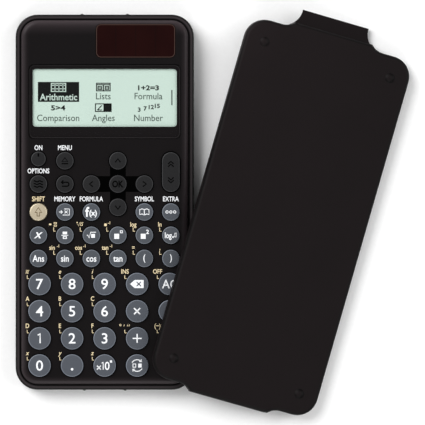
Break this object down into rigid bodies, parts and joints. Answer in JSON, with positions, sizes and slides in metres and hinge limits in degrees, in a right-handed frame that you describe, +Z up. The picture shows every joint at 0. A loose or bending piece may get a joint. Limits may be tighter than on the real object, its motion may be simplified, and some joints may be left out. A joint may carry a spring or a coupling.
{
  "type": "pocket calculator",
  "caption": "Pocket scientific calculator with round keys, a page rocker, a display, a solar cell and a slide-on hard cover leaning over its lower right corner.",
  "frame": {"origin": "middle of the flat back of the case, on the surface that the calculator lies on", "axes": "+Z up out of the key face, +Y towards the display end, +X to the right across the keys"},
  "size_m": [0.1701, 0.1751, 0.0169],
  "materials": {
    "face_plastic": "satin",
    "case_plastic": "satin",
    "cover_plastic": "fine grain",
    "window": "polished",
    "display_glass": "satin",
    "solar_glass": "polished",
    "board": "solder mask",
    "membrane_rubber": "matt",
    "battery_steel": "nickel",
    "contact_brass": "plated",
    "screw_steel": "zinc",
    "black_key": "satin",
    "small_key": "satin",
    "large_key": "satin",
    "gold_key": "metallic"
  },
  "bodies": {
    "case": {"front_case": "face_plastic", "rear_case": "case_plastic", "display_window": "window", "lcd_panel": "display_glass", "solar_cell": "solar_glass", "circuit_board": "board", "keypad_membrane": "membrane_rubber", "battery": "battery_steel", "battery_contacts": "contact_brass", "case_screws": "screw_steel"},
    "cover": {"cover": "cover_plastic"},
    "battery_door": {"battery_door": "case_plastic", "battery_door_screw": "screw_steel"},
    "page_rocker": {"page_rocker": "black_key"},
    "key_on": {"key_on": "black_key"},
    "key_home": {"key_home": "black_key"},
    "key_up": {"key_up": "black_key"},
    "key_down": {"key_down": "black_key"},
    "key_settings": {"key_settings": "black_key"},
    "key_back": {"key_back": "black_key"},
    "key_left": {"key_left": "black_key"},
    "key_ok": {"key_ok": "black_key"},
    "key_right": {"key_right": "black_key"},
    "key_shift": {"key_shift": "gold_key"},
    "key_variable": {"key_variable": "small_key"},
    "key_function": {"key_function": "small_key"},
    "key_catalogue": {"key_catalogue": "small_key"},
    "key_tools": {"key_tools": "small_key"},
    "key_x": {"key_x": "small_key"},
    "key_fraction": {"key_fraction": "small_key"},
    "key_root": {"key_root": "small_key"},
    "key_power": {"key_power": "small_key"},
    "key_square": {"key_square": "small_key"},
    "key_log": {"key_log": "small_key"},
    "key_answer": {"key_answer": "small_key"},
    "key_sine": {"key_sine": "small_key"},
    "key_cosine": {"key_cosine": "small_key"},
    "key_tangent": {"key_tangent": "small_key"},
    "key_open_bracket": {"key_open_bracket": "small_key"},
    "key_close_bracket": {"key_close_bracket": "small_key"},
    "key_7": {"key_7": "large_key"},
    "key_8": {"key_8": "large_key"},
    "key_9": {"key_9": "large_key"},
    "key_delete": {"key_delete": "large_key"},
    "key_all_clear": {"key_all_clear": "large_key"},
    "key_4": {"key_4": "large_key"},
    "key_5": {"key_5": "large_key"},
    "key_6": {"key_6": "large_key"},
    "key_multiply": {"key_multiply": "large_key"},
    "key_divide": {"key_divide": "large_key"},
    "key_1": {"key_1": "large_key"},
    "key_2": {"key_2": "large_key"},
    "key_3": {"key_3": "large_key"},
    "key_add": {"key_add": "large_key"},
    "key_subtract": {"key_subtract": "large_key"},
    "key_0": {"key_0": "large_key"},
    "key_point": {"key_point": "large_key"},
    "key_exponent": {"key_exponent": "large_key"},
    "key_format": {"key_format": "large_key"},
    "key_execute": {"key_execute": "large_key"}
  },
  "joints": [
    {"name": "cover_lift", "type": "slide", "parent": "case", "child": "cover", "axis": [0, 0, 1], "range_m": [0, 0.04]},
    {"name": "battery_door_drop", "type": "slide", "parent": "case", "child": "battery_door", "axis": [0, 0, -1], "range_m": [0, 0.012]},
    {"name": "page_rocker_tilt", "type": "hinge", "parent": "case", "child": "page_rocker", "pos_m": [0.02857, 0.01298, 0.0068], "axis": [1, 0, 0], "range_deg": [-3.5, 3.5], "stiffness_Nm_per_rad": 0.02, "deforming": ["keypad_membrane"]},
    {"name": "on_press", "type": "slide", "parent": "case", "child": "key_on", "axis": [0, 0, -1], "range_m": [0, 0.001], "stiffness_N_per_m": 350, "springref_m": -0.0006, "deforming": ["keypad_membrane"]},
    {"name": "home_press", "type": "slide", "parent": "case", "child": "key_home", "axis": [0, 0, -1], "range_m": [0, 0.001], "stiffness_N_per_m": 350, "springref_m": -0.0006, "deforming": ["keypad_membrane"]},
    {"name": "up_press", "type": "slide", "parent": "case", "child": "key_up", "axis": [0, 0, -1], "range_m": [0, 0.001], "stiffness_N_per_m": 350, "springref_m": -0.0006, "deforming": ["keypad_membrane"]},
    {"name": "down_press", "type": "slide", "parent": "case", "child": "key_down", "axis": [0, 0, -1], "range_m": [0, 0.001], "stiffness_N_per_m": 350, "springref_m": -0.0006, "deforming": ["keypad_membrane"]},
    {"name": "settings_press", "type": "slide", "parent": "case", "child": "key_settings", "axis": [0, 0, -1], "range_m": [0, 0.001], "stiffness_N_per_m": 350, "springref_m": -0.0006, "deforming": ["keypad_membrane"]},
    {"name": "back_press", "type": "slide", "parent": "case", "child": "key_back", "axis": [0, 0, -1], "range_m": [0, 0.001], "stiffness_N_per_m": 350, "springref_m": -0.0006, "deforming": ["keypad_membrane"]},
    {"name": "left_press", "type": "slide", "parent": "case", "child": "key_left", "axis": [0, 0, -1], "range_m": [0, 0.001], "stiffness_N_per_m": 350, "springref_m": -0.0006, "deforming": ["keypad_membrane"]},
    {"name": "ok_press", "type": "slide", "parent": "case", "child": "key_ok", "axis": [0, 0, -1], "range_m": [0, 0.001], "stiffness_N_per_m": 350, "springref_m": -0.0006, "deforming": ["keypad_membrane"]},
    {"name": "right_press", "type": "slide", "parent": "case", "child": "key_right", "axis": [0, 0, -1], "range_m": [0, 0.001], "stiffness_N_per_m": 350, "springref_m": -0.0006, "deforming": ["keypad_membrane"]},
    {"name": "shift_press", "type": "slide", "parent": "case", "child": "key_shift", "axis": [0, 0, -1], "range_m": [0, 0.001], "stiffness_N_per_m": 350, "springref_m": -0.0006, "deforming": ["keypad_membrane"]},
    {"name": "variable_press", "type": "slide", "parent": "case", "child": "key_variable", "axis": [0, 0, -1], "range_m": [0, 0.001], "stiffness_N_per_m": 350, "springref_m": -0.0006, "deforming": ["keypad_membrane"]},
    {"name": "function_press", "type": "slide", "parent": "case", "child": "key_function", "axis": [0, 0, -1], "range_m": [0, 0.001], "stiffness_N_per_m": 350, "springref_m": -0.0006, "deforming": ["keypad_membrane"]},
    {"name": "catalogue_press", "type": "slide", "parent": "case", "child": "key_catalogue", "axis": [0, 0, -1], "range_m": [0, 0.001], "stiffness_N_per_m": 350, "springref_m": -0.0006, "deforming": ["keypad_membrane"]},
    {"name": "tools_press", "type": "slide", "parent": "case", "child": "key_tools", "axis": [0, 0, -1], "range_m": [0, 0.001], "stiffness_N_per_m": 350, "springref_m": -0.0006, "deforming": ["keypad_membrane"]},
    {"name": "x_press", "type": "slide", "parent": "case", "child": "key_x", "axis": [0, 0, -1], "range_m": [0, 0.001], "stiffness_N_per_m": 350, "springref_m": -0.0006, "deforming": ["keypad_membrane"]},
    {"name": "fraction_press", "type": "slide", "parent": "case", "child": "key_fraction", "axis": [0, 0, -1], "range_m": [0, 0.001], "stiffness_N_per_m": 350, "springref_m": -0.0006, "deforming": ["keypad_membrane"]},
    {"name": "root_press", "type": "slide", "parent": "case", "child": "key_root", "axis": [0, 0, -1], "range_m": [0, 0.001], "stiffness_N_per_m": 350, "springref_m": -0.0006, "deforming": ["keypad_membrane"]},
    {"name": "power_press", "type": "slide", "parent": "case", "child": "key_power", "axis": [0, 0, -1], "range_m": [0, 0.001], "stiffness_N_per_m": 350, "springref_m": -0.0006, "deforming": ["keypad_membrane"]},
    {"name": "square_press", "type": "slide", "parent": "case", "child": "key_square", "axis": [0, 0, -1], "range_m": [0, 0.001], "stiffness_N_per_m": 350, "springref_m": -0.0006, "deforming": ["keypad_membrane"]},
    {"name": "log_press", "type": "slide", "parent": "case", "child": "key_log", "axis": [0, 0, -1], "range_m": [0, 0.001], "stiffness_N_per_m": 350, "springref_m": -0.0006, "deforming": ["keypad_membrane"]},
    {"name": "answer_press", "type": "slide", "parent": "case", "child": "key_answer", "axis": [0, 0, -1], "range_m": [0, 0.001], "stiffness_N_per_m": 350, "springref_m": -0.0006, "deforming": ["keypad_membrane"]},
    {"name": "sine_press", "type": "slide", "parent": "case", "child": "key_sine", "axis": [0, 0, -1], "range_m": [0, 0.001], "stiffness_N_per_m": 350, "springref_m": -0.0006, "deforming": ["keypad_membrane"]},
    {"name": "cosine_press", "type": "slide", "parent": "case", "child": "key_cosine", "axis": [0, 0, -1], "range_m": [0, 0.001], "stiffness_N_per_m": 350, "springref_m": -0.0006, "deforming": ["keypad_membrane"]},
    {"name": "tangent_press", "type": "slide", "parent": "case", "child": "key_tangent", "axis": [0, 0, -1], "range_m": [0, 0.001], "stiffness_N_per_m": 350, "springref_m": -0.0006, "deforming": ["keypad_membrane"]},
    {"name": "open_bracket_press", "type": "slide", "parent": "case", "child": "key_open_bracket", "axis": [0, 0, -1], "range_m": [0, 0.001], "stiffness_N_per_m": 350, "springref_m": -0.0006, "deforming": ["keypad_membrane"]},
    {"name": "close_bracket_press", "type": "slide", "parent": "case", "child": "key_close_bracket", "axis": [0, 0, -1], "range_m": [0, 0.001], "stiffness_N_per_m": 350, "springref_m": -0.0006, "deforming": ["keypad_membrane"]},
    {"name": "digit_7_press", "type": "slide", "parent": "case", "child": "key_7", "axis": [0, 0, -1], "range_m": [0, 0.001], "stiffness_N_per_m": 350, "springref_m": -0.0006, "deforming": ["keypad_membrane"]},
    {"name": "digit_8_press", "type": "slide", "parent": "case", "child": "key_8", "axis": [0, 0, -1], "range_m": [0, 0.001], "stiffness_N_per_m": 350, "springref_m": -0.0006, "deforming": ["keypad_membrane"]},
    {"name": "digit_9_press", "type": "slide", "parent": "case", "child": "key_9", "axis": [0, 0, -1], "range_m": [0, 0.001], "stiffness_N_per_m": 350, "springref_m": -0.0006, "deforming": ["keypad_membrane"]},
    {"name": "delete_press", "type": "slide", "parent": "case", "child": "key_delete", "axis": [0, 0, -1], "range_m": [0, 0.001], "stiffness_N_per_m": 350, "springref_m": -0.0006, "deforming": ["keypad_membrane"]},
    {"name": "all_clear_press", "type": "slide", "parent": "case", "child": "key_all_clear", "axis": [0, 0, -1], "range_m": [0, 0.001], "stiffness_N_per_m": 350, "springref_m": -0.0006, "deforming": ["keypad_membrane"]},
    {"name": "digit_4_press", "type": "slide", "parent": "case", "child": "key_4", "axis": [0, 0, -1], "range_m": [0, 0.001], "stiffness_N_per_m": 350, "springref_m": -0.0006, "deforming": ["keypad_membrane"]},
    {"name": "digit_5_press", "type": "slide", "parent": "case", "child": "key_5", "axis": [0, 0, -1], "range_m": [0, 0.001], "stiffness_N_per_m": 350, "springref_m": -0.0006, "deforming": ["keypad_membrane"]},
    {"name": "digit_6_press", "type": "slide", "parent": "case", "child": "key_6", "axis": [0, 0, -1], "range_m": [0, 0.001], "stiffness_N_per_m": 350, "springref_m": -0.0006, "deforming": ["keypad_membrane"]},
    {"name": "multiply_press", "type": "slide", "parent": "case", "child": "key_multiply", "axis": [0, 0, -1], "range_m": [0, 0.001], "stiffness_N_per_m": 350, "springref_m": -0.0006, "deforming": ["keypad_membrane"]},
    {"name": "divide_press", "type": "slide", "parent": "case", "child": "key_divide", "axis": [0, 0, -1], "range_m": [0, 0.001], "stiffness_N_per_m": 350, "springref_m": -0.0006, "deforming": ["keypad_membrane"]},
    {"name": "digit_1_press", "type": "slide", "parent": "case", "child": "key_1", "axis": [0, 0, -1], "range_m": [0, 0.001], "stiffness_N_per_m": 350, "springref_m": -0.0006, "deforming": ["keypad_membrane"]},
    {"name": "digit_2_press", "type": "slide", "parent": "case", "child": "key_2", "axis": [0, 0, -1], "range_m": [0, 0.001], "stiffness_N_per_m": 350, "springref_m": -0.0006, "deforming": ["keypad_membrane"]},
    {"name": "digit_3_press", "type": "slide", "parent": "case", "child": "key_3", "axis": [0, 0, -1], "range_m": [0, 0.001], "stiffness_N_per_m": 350, "springref_m": -0.0006, "deforming": ["keypad_membrane"]},
    {"name": "add_press", "type": "slide", "parent": "case", "child": "key_add", "axis": [0, 0, -1], "range_m": [0, 0.001], "stiffness_N_per_m": 350, "springref_m": -0.0006, "deforming": ["keypad_membrane"]},
    {"name": "subtract_press", "type": "slide", "parent": "case", "child": "key_subtract", "axis": [0, 0, -1], "range_m": [0, 0.001], "stiffness_N_per_m": 350, "springref_m": -0.0006, "deforming": ["keypad_membrane"]},
    {"name": "digit_0_press", "type": "slide", "parent": "case", "child": "key_0", "axis": [0, 0, -1], "range_m": [0, 0.001], "stiffness_N_per_m": 350, "springref_m": -0.0006, "deforming": ["keypad_membrane"]},
    {"name": "point_press", "type": "slide", "parent": "case", "child": "key_point", "axis": [0, 0, -1], "range_m": [0, 0.001], "stiffness_N_per_m": 350, "springref_m": -0.0006, "deforming": ["keypad_membrane"]},
    {"name": "exponent_press", "type": "slide", "parent": "case", "child": "key_exponent", "axis": [0, 0, -1], "range_m": [0, 0.001], "stiffness_N_per_m": 350, "springref_m": -0.0006, "deforming": ["keypad_membrane"]},
    {"name": "format_press", "type": "slide", "parent": "case", "child": "key_format", "axis": [0, 0, -1], "range_m": [0, 0.001], "stiffness_N_per_m": 350, "springref_m": -0.0006, "deforming": ["keypad_membrane"]},
    {"name": "execute_press", "type": "slide", "parent": "case", "child": "key_execute", "axis": [0, 0, -1], "range_m": [0, 0.001], "stiffness_N_per_m": 350, "springref_m": -0.0006, "deforming": ["keypad_membrane"]}
  ]
}
